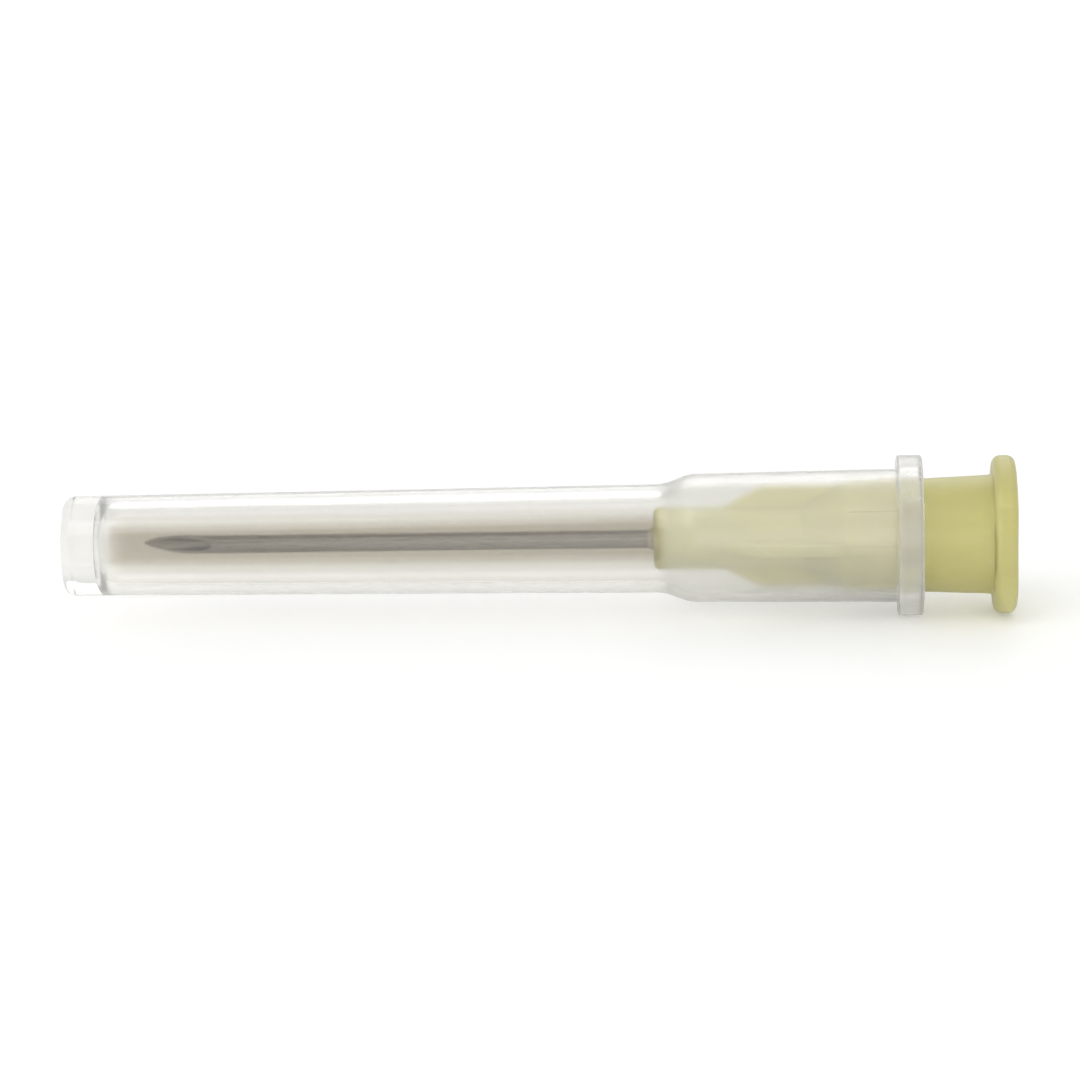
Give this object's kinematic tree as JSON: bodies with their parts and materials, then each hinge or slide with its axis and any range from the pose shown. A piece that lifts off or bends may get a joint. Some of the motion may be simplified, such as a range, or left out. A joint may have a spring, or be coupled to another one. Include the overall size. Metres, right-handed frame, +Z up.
{
  "type": "capped hypodermic needle",
  "caption": "Hypodermic needle, 0.9 mm by 25 mm, with a translucent yellow luer hub, in its clear push-on shield, lying on its side. The shield slides off over the point.",
  "frame": {"origin": "centre of the hub's mouth face, on the needle's axis", "axes": "+X along the axis, out of the luer socket's mouth; the point lies towards -X; +Z up, with the needle lying on its side and the hub's two lugs above and below"},
  "size_m": [0.0471, 0.008, 0.008],
  "materials": {
    "hub_yellow": "translucent polypropylene, satin",
    "needle_steel": "drawn stainless steel, bright, with a ground point",
    "epoxy": "clear amber adhesive",
    "shield_clear": "clear, slightly hazy polypropylene"
  },
  "bodies": {
    "needle": {"needle_hub": "hub_yellow", "cannula": "needle_steel", "adhesive": "epoxy"},
    "shield": {"shield": "shield_clear"}
  },
  "joints": [
    {"name": "shield_pull", "type": "slide", "parent": "needle", "child": "shield", "axis": [-1, 0, 0], "range_m": [0, 0.045]}
  ]
}
